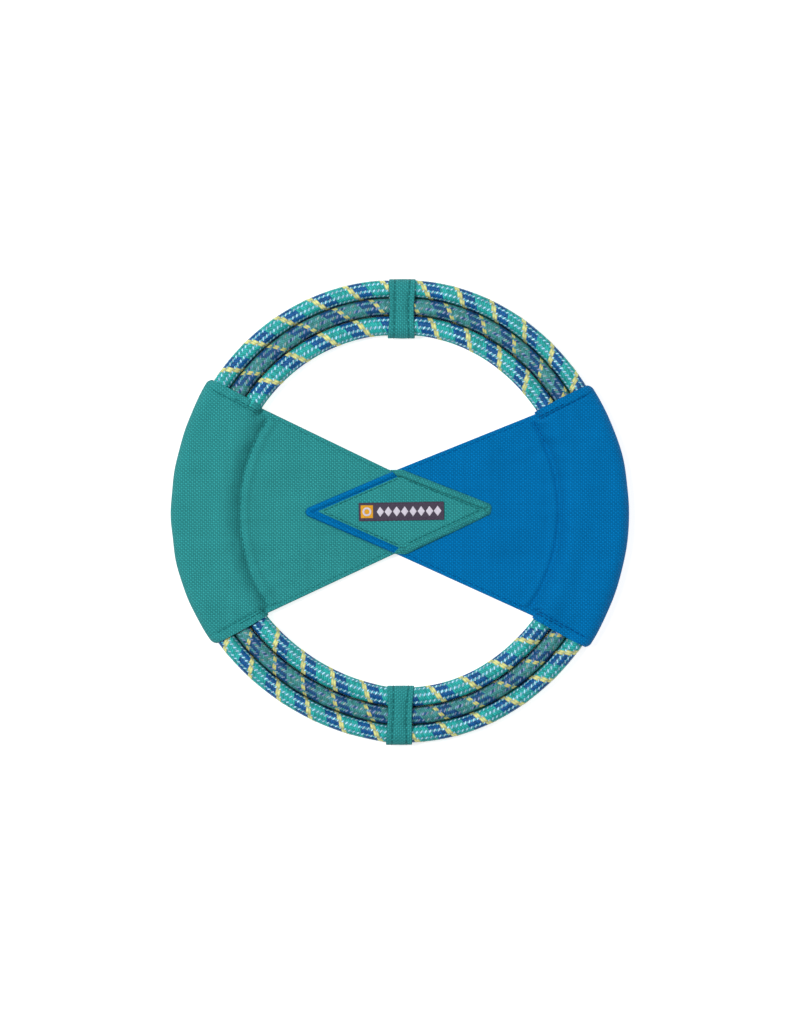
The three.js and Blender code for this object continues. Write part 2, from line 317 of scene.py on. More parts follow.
def woven(name, colour, shade, weft_tone, slant):
    """Plain weave of round yarns: at each crossing one of the two yarns is on top, turn and turn about.
    The weft lies deeper, and so looks darker by weft_tone. The yarns' twist catches light on a slant."""
    nodes = Nodes(name)
    warp, weft, flat = nodes.cloth(WARP, WEFT)
    # Yarns wander a little, so that the rows are never quite straight.
    wander = nodes.noise(flat, 70, 2) * 1.2 - 0.6
    warp, weft = warp + wander, weft - wander
    warp_up = (warp.floor() + weft.floor()) % 2
    weft_up = 1.0 - warp_up
    round_warp, round_weft = (abs((yarn * math.pi).sine()) for yarn in (warp, weft))
    over = round_warp * (round_weft * 0.55 + 0.45)
    under = round_weft * (round_warp * 0.55 + 0.45)
    height = over * warp_up + under * weft_up
    # Each yarn is a slightly different shade, and the cloth as a whole is a little uneven.
    yarn = warp_up * 1000.0 + (warp.floor() * warp_up + weft.floor() * weft_up)
    yarn_shade = nodes.node("ShaderNodeTexWhiteNoise", {"W": yarn}, noise_dimensions="1D")
    # Painted shade and highlight: darker, by shade, where each yarn dips under the other and lighter on its
    # top; the weft darker by weft_tone; a slanted highlight where the twist catches light.
    brightness = (height**0.7).fit(0.0, 1.0, shade, 1.10) * nodes.noise(flat, 60, 4).fit(0.3, 0.7, 0.96, 1.04)
    brightness = brightness * yarn_shade.fit(0.0, 1.0, 0.95, 1.05) * warp_up.fit(0.0, 1.0, weft_tone, 1.1)
    brightness = brightness * (((warp - weft) * math.pi).cosine() * slant + 1.0)
    fibre = nodes.noise(flat, 9000, 2)
    normal = nodes.bump(fibre, 0.02 * MM, 0.5, nodes.bump(height, WEAVE_DEPTH))
    return nodes.finish(colour, brightness, Normal=normal, Roughness=0.72, Specular_IOR_Level=0.18,
                        Specular_Tint=highlight(colour), Sheen_Weight=0.04, Sheen_Roughness=0.4,
                        Sheen_Tint=highlight(colour))


def braided(name):
    """Yarns of a braid. The colour attribute holds each yarn's colour; UVs run across and along the yarn,
    and painted shade darkens the yarn towards its sides and where it dives; its middle is painted lighter."""
    nodes = Nodes(name)
    across, along, flat = nodes.cloth(CROSSING)
    side = abs(((across + 0.5).fraction() - 0.5) * 2.0) ** 2.2
    dive = abs(along * 0.55).at_most(1.0) ** 2.0
    # Filaments twist slowly round the yarn.
    strands = (along * 3.0 + across * 24.0).sine() * 0.5 + 0.5
    grain = nodes.noise(flat, 5200, 3)
    brightness = (strands * 0.45 + grain).fit(0.35, 1.1, 0.82, 1.12)
    # Painted shade and highlight: lighter along the middle of the yarn, darker at its sides and where it
    # dives.
    brightness = brightness * (side * -0.70 + 1.16) * (dive * -0.60 + 1.14)
    return nodes.finish(nodes.yarn_colour(), brightness, Normal=nodes.bump(strands + grain, 0.03 * MM, 0.7),
                        Roughness=0.5, Specular_IOR_Level=0.2)


def sewing_thread(name, colour):
    """Twisted sewing thread: two plies wind along the stitch."""
    nodes = Nodes(name)
    across, along, _ = nodes.cloth(MM)
    ply = (along * 9.0 + across * 6.3).sine()
    # Painted shade: the thread is darker in the grooves between its two plies.
    return nodes.finish(colour, ply.fit(-1.0, 1.0, 0.7, 1.15), Normal=nodes.bump(ply, 0.04 * MM),
                        Roughness=0.6, Specular_IOR_Level=0.2, Specular_Tint=highlight(colour))


def embroidered(name):
    """A woven ribbon label: fine ribs across it, in the colours of its parts."""
    nodes = Nodes(name)
    along, across, flat = nodes.cloth(RIB)
    ribs = abs((along * math.pi).sine())
    picks = abs((across * (math.pi / 2)).sine())
    height = (ribs * 0.6 + 0.4) * (picks * 0.4 + 0.6)
    # Painted shade: the ribs are darker where they dip and lighter on their tops.
    brightness = height.fit(0.2, 1.0, 0.72, 1.08) * nodes.noise(flat, 900, 3).fit(0.3, 0.7, 0.92, 1.06)
    return nodes.finish(nodes.yarn_colour(), brightness, Normal=nodes.bump(height, 0.06 * MM), Roughness=0.6,
                        Specular_IOR_Level=0.2)


def plain_finish(name, colour):
    """A matt finish of one colour; the material of that name, if there is one already."""
    return bpy.data.materials.get(name) or Nodes(name).finish((*colour, 1.0), Roughness=0.7)


teal_cloth = woven("teal_woven_nylon", (0.038, 0.335, 0.340), shade=0.42, weft_tone=0.74, slant=0.07)
blue_cloth = woven("blue_woven_nylon", (0.002, 0.178, 0.474), shade=0.56, weft_tone=0.80, slant=0.05)
cord_yarn = braided("cord_yarns")
# The threads are their own colour with painted shade: darker than the cloth, so that each row of stitching
# shows as the dark line of the crease it draws in.
teal_thread = sewing_thread("teal_thread", (0.010, 0.13, 0.135))
blue_thread = sewing_thread("blue_thread", (0.002, 0.055, 0.19))

# -------- braided cords

YARNS = 16  # in each direction: a 32-carrier braid, each yarn over two and under two
SUBDIVIDE = 4  # mesh squares along each side of a crossing
CREST = 0.10 * MM  # how far the yarns' backs stand out of the cord's nominal surface
YARN_SWING = 0.15 * MM  # how far a yarn rises and dips as it goes over and under

# Widths of the two sets' yarns, in crossings; how far their sides fall off; and how deep the second set
# lies, and every other one of it. In the round-patterned cords the first set closes over the second.
CLOSED_WEAVE = (1.35, 0.22 * MM, 1.20, 0.26 * MM, 0.12 * MM, 0.07 * MM)
OPEN_WEAVE = (1.15, 0.26 * MM, 0.95, 0.28 * MM, 0.07 * MM, 0.0)
WEAVES = {"outer": CLOSED_WEAVE, "middle": OPEN_WEAVE, "inner": CLOSED_WEAVE}
TRACERS = 2  # yellow yarns side by side, the first of the first set's colours
TRACER_WIDTH = 1.7
TRACER_LIFT = 0.10 * MM  # the tracers of the round-patterned cords are thicker, and stand out

YARN_COLOURS = {
    "yellow": (0.58, 0.60, 0.24),
    "blue": (0.003, 0.085, 0.27),
    "teal": (0.018, 0.36, 0.34),
    "white": (0.33, 0.60, 0.74),
    "bright_teal": (0.06, 0.36, 0.46),
    "dull_yellow": (0.48, 0.47, 0.16),
    "dull_blue": (0.008, 0.072, 0.20),
    "dull_teal": (0.045, 0.24, 0.235),
    "mauve": (0.18, 0.25, 0.42),
    "grey": (0.11, 0.30, 0.38),
    "tan": (0.22, 0.34, 0.34),
    "shade": (0.02, 0.12, 0.14),
}
WHITE_DOTTED = ("white", "bright_teal")  # colours of the second set of yarns, in turn round the braid
DULL = ("mauve", "grey", "dull_teal", "grey", "tan", "dull_teal", "mauve", "dull_blue")

# name: pitches of the braid round the hoop, angle at which a tracer crosses the cord's top, which way
# round the colours follow each other, and the second set's colours
BRAIDS = {
    "outer": (38, 83.5, False, WHITE_DOTTED),
    "middle": (35, 86.0, True, DULL),
    "inner": (32, 79.2, True, WHITE_DOTTED),
}
PRESSED = 0.30 * MM  # how far the middle cord swells towards the other two
NEIGHBOURS = {"outer": (-1,), "middle": (-1, 1), "inner": (1,)}  # sides where a cord lies against another
GROOVE_SHADE = 0.85  # painted shade: how much the yarns' colour is darkened, deep in the groove between two cords
GROOVE_WIDTH = 0.11  # as a share of the cord's radius
YARN_TONES = np.random.default_rng(5).uniform(0.68, 1.22, 89)  # no two lengths of yarn are quite alike
UV_STEP = 8  # crossings between one yarn's UVs and the next's
BAND_COVER = 2.5  # degrees either side of the Y axis that the keeper bands hide
SLEEVE_COVER = {"outer": 32.6, "middle": 33.4, "inner": 34.4}  # degrees from the X axis, just inside
OVERLAP = 0.6  # degrees that a hidden plain stretch runs on under the braid
PLAIN_DEPTH = 0.25 * MM  # from a cord's surface to that of its plain stretches
CORE_DEPTH = 1.4 * MM  # from the braid's surface to the core
CORE_COLOUR = (0.78, 0.76, 0.70)
WELDS = {"outer": 0, "middle": 180, "inner": 15}  # where each cord's two ends are melted together, degrees
WELD_HALF = 0.45  # degrees
WELD_DEPTH = 0.1 * MM
WELD_SHAPE = np.array([0.9, 1, 1, 1, 0.9])  # its radius along its length


def hoop_points(name, theta, phi, radius):
    """Points at angle theta round the hoop and phi round the cord: 0 faces the rim, 90 degrees up."""
    _, half_x, half_y = hoops[name]
    if name == "middle":  # pressed between the other two, so that no light shows between the cords
        radius = radius + PRESSED * np.cos(phi) ** 16
    outward = np.stack([half_y * np.cos(theta), half_x * np.sin(theta)], axis=-1)
    outward /= np.linalg.norm(outward, axis=-1, keepdims=True)
    reach = radius * np.cos(phi) + sway(theta)
    x = half_x * np.cos(theta) + reach * outward[..., 0]
    y = half_y * np.sin(theta) + reach * outward[..., 1]
    return np.stack(np.broadcast_arrays(x, y, PLANE + radius * np.sin(phi)), axis=-1)


def wrap4(x):
    """x brought into -2 to 2, as the braid repeats every four crossings."""
    return (x + 2) % 4 - 2


def yarn_height(along, across, width, fall):
    """Height of a yarn's surface, with along 0 in the middle of its two-crossing float."""
    side = np.clip(np.abs(2 * across / width), 0, 2)
    return YARN_SWING * np.cos(along * math.pi / 2) - fall * side**2.6


def braid_surface(name, a, b):
    """Height, which set's yarn is on top, its number and the place along its float, where a and b number
    the yarns of the two sets: the first set's yarn A runs along b, and the second set's B along a."""
    full_width, full_fall, thin_width, thin_fall, drop, sunk = WEAVES[name]
    best = np.full(np.shape(a), -np.inf)
    first_on_top, yarn, place = False, 0, 0.0
    for step in (-1, 0, 1):
        first, second = np.round(a) + step, np.round(b) + step
        along_first, along_second = wrap4(b - first - 2.5), wrap4(a - second + 0.5)
        tracer = (first % YARNS < TRACERS) & (name != "middle")
        width = np.where(tracer, TRACER_WIDTH, full_width)
        high = yarn_height(along_first, a - first, width, full_fall) + np.where(tracer, TRACER_LIFT, 0)
        low = yarn_height(along_second, b - second, thin_width, thin_fall) - (drop + sunk * (second % 2))
        options = ((True, first, along_first, high), (False, second, along_second, low))
        for is_first, number, along, height in options:
            higher = height > best
            best = np.where(higher, height, best)
            first_on_top = np.where(higher, is_first, first_on_top)
            yarn = np.where(higher, number, yarn).astype(int)
            place = np.where(higher, along, place)
    return best, first_on_top, yarn, place


def yarn_paint(name, first_on_top, yarn, crossing):
    """The colours of yarns, and which of them are tracers."""
    _, _, reverse, second_colours = BRAIDS[name]
    stripes = ["teal"] * 8 + ["blue"] * 6 if reverse else ["blue"] * 6 + ["teal"] * 8
    dull = "dull_" if name == "middle" else ""
    first = np.array([YARN_COLOURS[dull + c] for c in ["yellow"] * TRACERS + stripes])[yarn % YARNS]
    second = np.array([YARN_COLOURS[c] for c in second_colours])[yarn % len(second_colours)]
    tracer_on_top = first_on_top & (yarn % YARNS < TRACERS)
    # Each length between two crossings takes the next tone in an order that doesn't show.
    tones = YARN_TONES[(yarn * 7 + crossing * 3 + first_on_top * 31) % len(YARN_TONES)]
    tones = np.where(tracer_on_top, np.sqrt(tones), tones)
    return np.where(first_on_top[:, None], first, second) * tones[:, None], tracer_on_top


def braided_run(name, start, end):
    """Points, faces, UVs and colours of the braid between two angles in degrees."""
    pitches, tracer, _, _ = BRAIDS[name]
    turn = SUBDIVIDE * 2 * YARNS  # steps round the cord, each a part of a crossing
    per_degree = pitches / 360 * turn
    low = int(math.floor((tracer - end) * per_degree))
    high = int(math.ceil((tracer - start) * per_degree))
    # The mesh's corners: p steps round the hoop and q round the cord, either both even or both odd.
    p, half_q = np.meshgrid(np.arange(low, high + 1), np.arange(turn // 2), indexing="ij")
    q = 2 * half_q + (p % 2)
    a = (p - q) / (2 * SUBDIVIDE) - 0.5
    b = (p + q) / (2 * SUBDIVIDE) - 0.5
    theta = math.radians(tracer) - math.pi / (YARNS * pitches) * (a + b - 0.5)
    phi = math.pi / 2 + math.pi / YARNS * (b - a + 0.5)
    height = braid_surface(name, a, b)[0]
    points = hoop_points(name, theta, phi, hoops[name][0] + (CREST - YARN_SWING + height)).reshape(-1, 3)
    rows, columns = p.shape

    def index(row, steps):
        """Number of the point in a row whose q is `steps`."""
        return row * columns + (steps % turn - (row + low) % 2) // 2

    row, steps = np.repeat(np.arange(rows - 2), columns), q[:-2].ravel()
    faces = np.stack([index(row, steps), index(row + 1, steps - 1), index(row + 2, steps),
                      index(row + 1, steps + 1)], axis=1)
    middle_a, middle_b = (yarns[:-2].ravel() + 0.5 / SUBDIVIDE for yarns in (a, b))
    _, first_on_top, yarn, along = braid_surface(name, middle_a, middle_b)
    crossing = np.round(np.where(first_on_top, middle_b, middle_a) / 2).astype(int)
    colours, tracer_on_top = yarn_paint(name, first_on_top, yarn, crossing)
    facing = np.cos(math.pi / 2 + math.pi / YARNS * (middle_b - middle_a + 0.5))
    # Painted shade: the yarns' colour is darkened where the cord lies against another, for the shade deep in
    # the groove.
    for side in NEIGHBOURS[name]:
        colours = colours * (1 - GROOVE_SHADE * bump(side * facing, 1, GROOVE_WIDTH))[:, None]

    corners = 0.5 / SUBDIVIDE * np.array([[-1, -1], [1, -1], [1, 1], [-1, 1]])
    # A tracer's sides are hardly in shade, so the middle of its UVs' width serves for all of it.
    spread = np.where(tracer_on_top, 0.6, 1.0)[:, None]
    pairs = (corners.T, corners.T[::-1])
    step_across, step_along = (np.where(first_on_top[:, None], *pair) for pair in pairs)
    across = ((np.where(first_on_top, middle_a, middle_b) - yarn)[:, None] + step_across) * spread
    uv = np.stack([across + yarn[:, None] * UV_STEP, along[:, None] + step_along], axis=-1) * CROSSING
    return points, faces.tolist(), uv.reshape(-1, 2), colours


def round_tube(name, theta, radius, sides):
    """Points of a plain tube along a cord, and its faces."""
    phi = np.linspace(0, TAU, sides, endpoint=False)[None, :]
    points = hoop_points(name, theta[:, None], phi, radius).reshape(-1, 3)
    return points, grid_quads(len(theta), sides, closed_columns=True)[:, ::-1]


def plain_run(name, start, end):
    """The stretch of a cord that fabric hides: a plain tube, just under the braid's surface."""
    theta = np.radians(np.linspace(start, end, max(2, int((end - start) / 3)) + 1))
    points, faces = round_tube(name, theta, hoops[name][0] - PLAIN_DEPTH, 16)
    colours = np.tile(YARN_COLOURS["shade"], (len(faces), 1))
    return points, faces.tolist(), np.zeros((4 * len(faces), 2)), colours


def cord_half(name, side, half):
    """Half a hoop, the upper or the lower: braided where it shows, plain where the wings' sleeves and the
    keeper band hide it. The halves overlap inside the sleeves."""
    sleeve, band = SLEEVE_COVER[name], BAND_COVER
    braids = ((sleeve, 90 - band), (90 + band, 180 - sleeve))
    hidden = ((0, sleeve + OVERLAP), (90 - band - OVERLAP, 90 + band + OVERLAP),
              (180 - sleeve - OVERLAP, 180))
    parts = [braided_run(name, start + half, end + half) for start, end in braids]
    parts += [plain_run(name, start + half, end + half) for start, end in hidden]
    piece = mesh_object(f"{name}_cord_braid_{side}", cord_yarn, *joined(parts))
    return settle(piece, "dull_cord_sheath" if name == "middle" else "cord_sheath", f"{name}_cord_sheath")


def cord_inside(name):
    """The plain core that runs all the way round inside the braid, and the lump where the ends are melted."""
    steps, sides = 120, 12
    points, faces = round_tube(name, np.linspace(0, TAU, steps + 1), hoops[name][0] - CORE_DEPTH, sides)
    ring = steps * sides  # the points past it are the first ones again
    core = mesh_object(f"{name}_cord_core_strand", core_finish, points[:ring], faces % ring)
    settle(core, "cord_core", f"{name}_cord_core")

    theta = np.radians(WELDS[name] + np.linspace(-WELD_HALF, WELD_HALF, len(WELD_SHAPE)))
    radius = (hoops[name][0] - WELD_DEPTH) * WELD_SHAPE[:, None]
    points, faces = round_tube(name, theta, radius, sides)
    ends = [range(sides), range(len(points) - sides, len(points))[::-1]]
    lump = mesh_object(f"{name}_cord_weld_lump", weld_finish, points, [*faces, *ends])
    settle(lump, "cord_weld", f"{name}_cord_weld")


core_finish = plain_finish("cord_core", CORE_COLOUR)
weld_finish = plain_finish("cord_weld", YARN_COLOURS["shade"])
cords = [cord_half(name, side, half) for name in BRAIDS for side, half in (("upper", 0), ("lower", 180))]
for name in BRAIDS:
    cord_inside(name)

# -------- wings

CLOTH = 0.5 * MM  # one thickness of the wings' cloth
WEB_HALF = 0.6 * MM  # from a web's middle to its face
WEB_SHIFT = 0.72 * MM  # how far the wings' webs lie above and below the cords' plane at the centre
SEAM_R = 81 * MM  # arc of the channel seam
ROOT_R = SEAM_R + 3 * MM  # where the grid of a wing's points goes over from web to sleeve
SWELL = 2.2  # how sharply the sleeve swells from the seam
HEM = 3.5 * MM  # stitching to a sleeve's open end
HEM_FOLD = 0.38 * MM  # how far the folded hem stands out
EDGE_STITCH = 2.0 * MM  # stitching to a tapered edge
STITCH_PITCH = 3.0 * MM
RIM_INSET, RIM_UNEVEN = 0.3 * MM, 0.14 * MM  # the outer fold inside the CAD's rim, and its unevenness
RIM_LOOSE = 0.5 * MM  # how far the open ends' outer corners stand out
CORNER_CUT, CORNER_FROM = 1.6 * MM, 0.955  # how round the rim's corners are, and where they start
SETTLED = 0.45 * MM  # how much lower the sleeve lies over the outer cords than over the thick inner one
SINK, END_SINK, END_REACH = 0.10 * MM, 0.45 * MM, 7 * MM  # between the cords: all over, and at the open ends
PUFF, PUFF_INSET, PUFF_WIDTH = 1.0 * MM, 2.8 * MM, 1.7 * MM  # the web's two leaves apart, inside the seam
PINCH, PINCH_TICK, PINCH_WIDTH = 0.46 * MM, 0.20 * MM, 0.7 * MM  # where they are sewn, and at each stitch
HEM_PINCH, HEM_TICK, HEM_PINCH_WIDTH = 0.52 * MM, 0.24 * MM, 0.55 * MM  # the same along the sleeve's hems
EDGE_PINCH, EDGE_PINCH_WIDTH = 0.14 * MM, 0.45 * MM  # along the tapered edges' stitching
OPENING = 1.1  # slope at which the two leaves part from a tapered edge
SLACK, SLACK_LENGTH = 0.60 * MM, 40 * MM  # the web's slow waves
PLEAT, PLEAT_LENGTH, PLEAT_REACH = 0.42 * MM, 12 * MM, 13 * MM  # pleats that run out from the seam
SOFT, SOFT_LENGTH = 0.22 * MM, 20 * MM  # the sleeve's dents
DRAWN, DRAWN_LENGTH = 0.24 * MM, 5.5 * MM  # puckers beside the channel seam
WELT, WELT_HALF = 1.25 * MM, 1.4 * MM  # height and half width of the raised tip's folded edge
WING_COLUMNS, WEB_ROWS, SLEEVE_ROWS, RIM_ROWS = 169, 87, 45, 12  # points of a wing's grid


def ring_radius(x, y):
    """Distance from the centre on the scale of the hoops' mean radii."""
    return np.hypot(x, y) + OVAL * np.cos(2 * np.arctan2(y, x))


def off_segment(x, y, start, end):
    """Distance from the segment between two points."""
    (ax, ay), (dx, dy) = start, end - start
    t = np.clip(((x - ax) * dx + (y - ay) * dy) / (dx * dx + dy * dy), 0, 1)
    return np.hypot(x - ax - t * dx, y - ay - t * dy)


class Wing:
    """One folded wing, drawn with its sleeve towards +X and its tip towards -X, then turned into place.
    upper and lower are the points of each side's outline: the blunt tip's corner, the waist where the edge
    bends, and the sleeve's open end, first its inner and then its outer corner."""

    def __init__(self, name, turn, tip, upper, lower, web_shift, seed, material, raised_tip):
        self.name, self.turn, self.seed, self.material = name, turn, seed, material
        self.tip = np.array(tip) * MM
        self.edges = {side: np.array([tip, *line[:-1]]) * MM for side, line in ((1, upper), (-1, lower))}
        self.ends = {side: np.array(line[-3:]) * MM for side, line in ((1, upper), (-1, lower))}
        self.web_shift, self.raised_tip = web_shift, raised_tip

    def edge_distance(self, x, y):
        """Distance to the nearer tapered edge."""
        pairs = [pair for edge in self.edges.values() for pair in zip(edge[:-1], edge[1:])]
        return np.min([off_segment(x, y, start, end) for start, end in pairs], axis=0)

    def mouth_distance(self, x, y):
        """Distance to the nearer open end of the sleeve."""
        return np.minimum(*(off_segment(x, y, corner, rim) for _, corner, rim in self.ends.values()))

    def rim_radius(self, v):
        """Radius of the sleeve's outer fold, from the lower open end, v = -1, to the upper, v = 1. The fold
        isn't quite round, and its corners are a little rounded."""
        middle = RIM + OVAL - RIM_INSET
        upper, lower = (ring_radius(*self.ends[side][2]) for side in (1, -1))
        end = np.where(v > 0, upper, lower) + RIM_LOOSE
        uneven = RIM_UNEVEN * waves(70 * v, 0 * v, 24, self.seed + 5) * (1 - v**8)
        corner = CORNER_CUT * np.clip((np.abs(v) - CORNER_FROM) / (1 - CORNER_FROM), 0, 1) ** 2
        return middle + (end - middle) * np.abs(v) ** 3 + uneven - corner

    def half(self, x, y):
        """Half the thickness of the wing, where the sleeve's rim hasn't begun to turn down."""
        r = ring_radius(x, y)
        shift = sway(np.arctan2(y, x) + self.turn)
        inner, edge = INNER_R + shift, self.edge_distance(x, y)
        # The sleeve swells from the channel seam like a pillow, up to the top of the inner cord. Past that,
        # which is the thickest, the cloth settles on the other two.
        swell = 1 - (1 - np.clip((r - SEAM_R) / (inner - SEAM_R), 0, 1)) ** SWELL
        half = WEB_HALF + (SLEEVE_HALF - WEB_HALF) * swell - SETTLED * smoothstep(inner, MIDDLE_R + shift, r)
        # The cloth sinks a little between the cords, more so at the open ends.
        dip = 1 - beat(r - inner, (OUTER_R - INNER_R) / 2)
        on_top = smoothstep(inner - 2 * MM, inner, r) * (1 - smoothstep(OUTER_R - 1 * MM, OUTER_R, r - shift))
        half = half - dip * on_top * (SINK + END_SINK * np.exp(-self.mouth_distance(x, y) / END_REACH))
        # The web's two leaves puff apart just inside the seam, and are pinched where they are sewn.
        half = half + PUFF * bump(r, SEAM_R - PUFF_INSET, PUFF_WIDTH)
        stitch = beat(self.seam_length(x, y), STITCH_PITCH)
        half = half - (PINCH + PINCH_TICK * stitch) * bump(r, SEAM_R, PINCH_WIDTH)
        open_up = WEB_HALF + np.maximum(edge - EDGE_STITCH - 0.5 * MM, 0) * OPENING
        half = np.minimum(half, open_up) * arch(edge / (0.6 * MM))
        half = half - EDGE_PINCH * bump(edge, EDGE_STITCH, EDGE_PINCH_WIDTH) * (half > 0.3 * MM)
        # At the open ends' corners the cloth goes straight round the inner cord.
        wrapped = np.sqrt(np.maximum(SLEEVE_HALF**2 - np.minimum(r - inner, 0) ** 2, 0))
        return np.where(r < inner, np.maximum(half, wrapped), half)

    def seam_length(self, x, y):
        return np.arctan2(y, x) * SEAM_R

    def middle(self, x, y):
        """Height of the wing's middle: level with the cords at the sleeve, above or below the other wing's
        web at the centre, with the slack of a soft cloth and faint pleats running out from the seam."""
        r = ring_radius(x, y)
        shift = self.web_shift * (1 - smoothstep(45 * MM, SEAM_R - 2 * MM, np.where(x > 0, r, 0)))
        slack = SLACK * waves(x, y, SLACK_LENGTH, self.seed) * (1 - smoothstep(SEAM_R - 12 * MM, SEAM_R, r))
        slack = slack * smoothstep(30 * MM, 50 * MM, x)
        pleats = PLEAT * waves(self.seam_length(x, y), 0.22 * r, PLEAT_LENGTH, self.seed + 1)
        fade = np.exp(-np.maximum(SEAM_R - r, 0) / PLEAT_REACH) * (1 - smoothstep(SEAM_R, SEAM_R + 5 * MM, r))
        from_edge = smoothstep(2 * MM, 12 * MM, self.edge_distance(x, y))
        return PLANE + shift + slack + pleats * fade * from_edge

    def upper(self, x, y):
        """Height of the upper face."""
        return self.middle(x, y) + self.half(x, y) + self.relief(x, y)

    def lower(self, x, y):
        """Height of the lower face: the same folds and stitching, pressed flatter by what it lies on."""
        half = self.half(x, y) + 0.5 * self.relief(x, y)
        return np.maximum(self.middle(x, y) - half, 0.02 * MM)

    def relief(self, x, y):
        """What stands out of the upper face: folded hems, the puckers beside rows of stitching, dents."""
        r = ring_radius(x, y)
        edge, mouth = self.edge_distance(x, y), self.mouth_distance(x, y)
        on_sleeve = smoothstep(SEAM_R + 3 * MM, SEAM_R + 7 * MM, r)
        fold = HEM_FOLD * (1 - smoothstep(HEM - 0.7 * MM, HEM, mouth))
        sewn = (HEM_PINCH + HEM_TICK * beat(r, STITCH_PITCH)) * bump(mouth, HEM + 0.2 * MM, HEM_PINCH_WIDTH)
        soft = SOFT * waves(x, y, SOFT_LENGTH, self.seed + 2) * smoothstep(3 * MM, 9 * MM, edge)
        drawn = DRAWN * waves(self.seam_length(x, y), 0.4 * r, DRAWN_LENGTH, self.seed + 3)
        relief = (fold - sewn + soft) * on_sleeve + drawn * bump(r, SEAM_R + 4 * MM, 3.5 * MM)
        if self.raised_tip:
            welt = np.sqrt(np.clip(1 - (edge / WELT_HALF - 1) ** 2, 0, 1))
            relief = relief + WELT * welt * (1 - smoothstep(-5 * MM, 1 * MM, x))
        return relief

    def rows(self):
        """The wing's grid: plane points, each row's turn round the rim, and cloth UVs."""
        t = np.linspace(-1, 1, WING_COLUMNS)
        v = 0.3 * t + 0.7 * np.sin(math.pi * t / 2)  # closer together towards both sides
        w = (v + 1) / 2
        (_, corner_u, rim_u), (_, corner_l, rim_l) = self.ends[1], self.ends[-1]

        def across(low, high):
            """From the lower side's value to the upper side's, where these are numbers or points."""
            share = w[:, None] if np.ndim(low) else w
            return low * (1 - share) + high * share

        # Web: lines from edge to edge, which bow out until they follow the channel seam.
        s = np.linspace(0, 1, WEB_ROWS + 1)[1:] ** 1.6
        s = 0.2 * s + 0.8 * (1 - (1 - s) ** 2)  # closer together towards the seam
        sides = []
        for edge in (self.edges[-1], self.edges[1]):
            reach = travelled(edge)
            line = np.stack([np.interp(s * reach[-1], reach, axis) for axis in edge.T], axis=-1)
            sides.append(line[:, None])
        root_angle = across(bearing(corner_l), bearing(corner_u))
        root_r = ROOT_R + (across(np.hypot(*corner_l), np.hypot(*corner_u)) - ROOT_R) * np.abs(v) ** 4
        root = polar(root_r, root_angle)
        web = across(*sides) + (root - across(corner_l, corner_u)) * s[:, None, None] ** 1.5

        # Sleeve: out over the cords, then round the rim.
        rim_r = self.rim_radius(v)
        turn_r = rim_r - SLEEVE_HALF
        start_r = ring_radius(*root.T)
        out = np.linspace(0, 1, SLEEVE_ROWS + 1)[1:, None]
        round_rim = np.linspace(0, math.pi / 2, RIM_ROWS + 1)[1:, None]
        r = np.concatenate([start_r + out * (turn_r - start_r), turn_r + SLEEVE_HALF * np.sin(round_rim)])
        share = (r - start_r) / (rim_r - start_r)
        angle = root_angle + (across(bearing(rim_l), bearing(rim_u)) - root_angle) * share
        sleeve = np.stack([(r - OVAL) * np.cos(angle), (r + OVAL) * np.sin(angle)], axis=-1)

        xy = np.concatenate([web, sleeve])
        over = np.concatenate([np.zeros((WEB_ROWS + SLEEVE_ROWS, 1)), round_rim])
        excess = SLEEVE_HALF * (over - np.sin(over))  # cloth that the plan view hides
        uv = xy + excess[..., None] * polar(1, np.arctan2(xy[..., 1], xy[..., 0]))
        return xy, over, uv

    def build(self):
        xy, over, uv = self.rows()
        x, y = xy[..., 0], xy[..., 1]
        middle = self.middle(x, y)
        points = []
        for height in (self.upper, self.lower):
            face = middle + (height(x, y) - middle) * np.cos(over)
            face[:WEB_ROWS, [0, -1]] = middle[:WEB_ROWS, [0, -1]]  # the two faces join at the web's edges
            points.append(np.stack([x, y, face], axis=-1).reshape(-1, 3))
        points.append([[*self.tip, float(self.middle(*self.tip))]])
        quads = grid_quads(*x.shape)
        count, last = x.size, 2 * x.size
        fans = []
        for c in range(WING_COLUMNS - 1):
            fans += [(c + 1, c, last), (last, count + c, count + c + 1)]
        uvs = np.concatenate([uv.reshape(-1, 2), uv.reshape(-1, 2), [self.tip]])
        piece = mesh_object(f"{self.name}_cloth", self.material, turned(np.concatenate(points), self.turn),
                            [*quads[:, ::-1], *(quads + count), *fans], uvs)
        weld(piece)
        use_modifier(piece, "SOLIDIFY", thickness=CLOTH, offset=-1, use_rim=True)
        return piece


left = Wing("left_wing", math.pi, tip=(-44.0, -1.0), upper=((-43.6, 0.6), (2, 20.6), (66, 50.5), (93, 65.5)),
            lower=((-43.6, -2.4), (6, -21.4), (69, -51.8), (95.5, -66)), web_shift=-WEB_SHIFT, seed=3,
            material=teal_cloth, raised_tip=False)
right = Wing("right_wing", 0.0, tip=(-47.2, 0.1), upper=((-46.4, 2.0), (-1, 21.4), (67.4, 48.9), (95, 63.2)),
             lower=((-46.6, -1.9), (-1, -21.4), (66.4, -52), (94, -67.4)), web_shift=WEB_SHIFT, seed=8,
             material=blue_cloth, raised_tip=True)
left_cloth = settle(left.build(), "teal_fabric", "left_wing")
right_cloth = settle(right.build(), "blue_fabric", "right_wing")

# -------- sewing

THREAD = 0.21 * MM  # radius of the sewing thread
STITCH_SHARE = 0.80  # of a stitch's pitch that lies on the surface
STITCH_POINTS = (1 - STITCH_SHARE) / 2 + STITCH_SHARE * np.array([0, 0.12, 0.5, 0.88, 1])
BLUNT = 0.35  # a stitch's ends, as a share of its radius
# From the cloth's face to the thread's middle: over the deep crease of the channel seam, on the hems, and
# along the tapered edges, where it is pulled in until it hardly shows.
THREAD_LIFTS = {"channel": 0.20 * MM, "hem": 0.06 * MM, "edge": -0.13 * MM}
SEAM_TRIM = 0.03  # radians from a sleeve's corner to the end of its channel seam
SECOND_ROW = 1.3 * MM  # from a hem's stitching to the short row outside it


